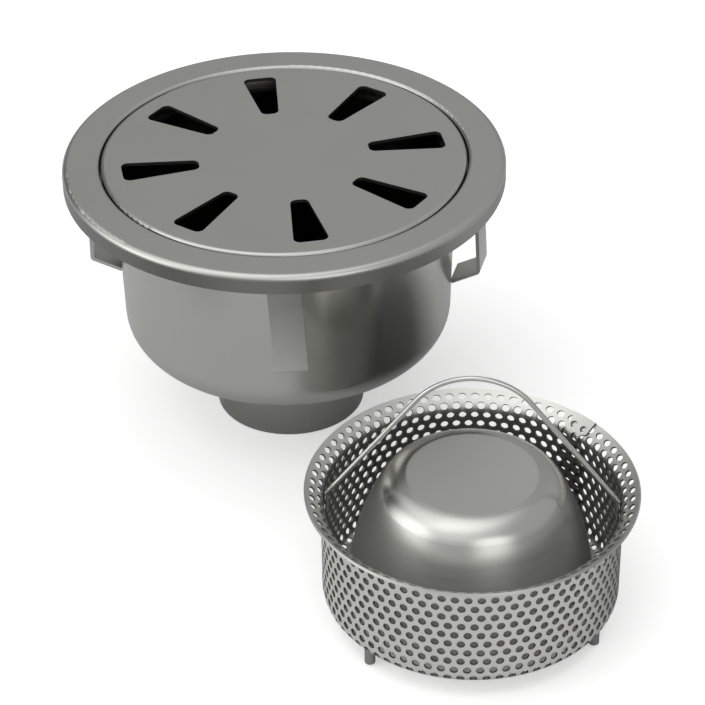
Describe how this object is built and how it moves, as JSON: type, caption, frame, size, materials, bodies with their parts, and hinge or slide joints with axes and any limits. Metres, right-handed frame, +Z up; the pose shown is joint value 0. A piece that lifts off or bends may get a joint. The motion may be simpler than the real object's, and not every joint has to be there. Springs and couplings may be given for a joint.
{
  "type": "floor gully",
  "caption": "Round stainless floor gully: slotted cover in a flanged frame, bowl with bottom outlet and anchor straps, and a lift-out perforated strainer basket with a trap bell",
  "frame": {"origin": "centre of the outlet's lower end, where the gully and the feet of the basket stand", "axes": "+Z up along the gully's axis, the basket stands on the -Y side; X across, right anchor towards +X"},
  "size_m": [0.1866, 0.2443, 0.098],
  "materials": {
    "satin_steel": "satin, fine blasted",
    "drawn_steel": "satin, drawn sheet",
    "strap_steel": "satin strip",
    "basket_steel": "satin perforated sheet",
    "bell_steel": "polished, soft",
    "wire_steel": "drawn wire"
  },
  "bodies": {
    "root": {"top_frame": "satin_steel", "cover_plate": "satin_steel", "bowl": "drawn_steel", "outlet_pipe": "drawn_steel", "anchor_right": "strap_steel", "anchor_back": "strap_steel", "anchor_left": "strap_steel", "anchor_front": "strap_steel", "basket_wall": "basket_steel", "basket_floor": "basket_steel", "basket_foot_left": "basket_steel", "basket_foot_right": "basket_steel", "basket_foot_back": "basket_steel", "trap_bell": "bell_steel", "bail_handle": "wire_steel"}
  },
  "joints": []
}
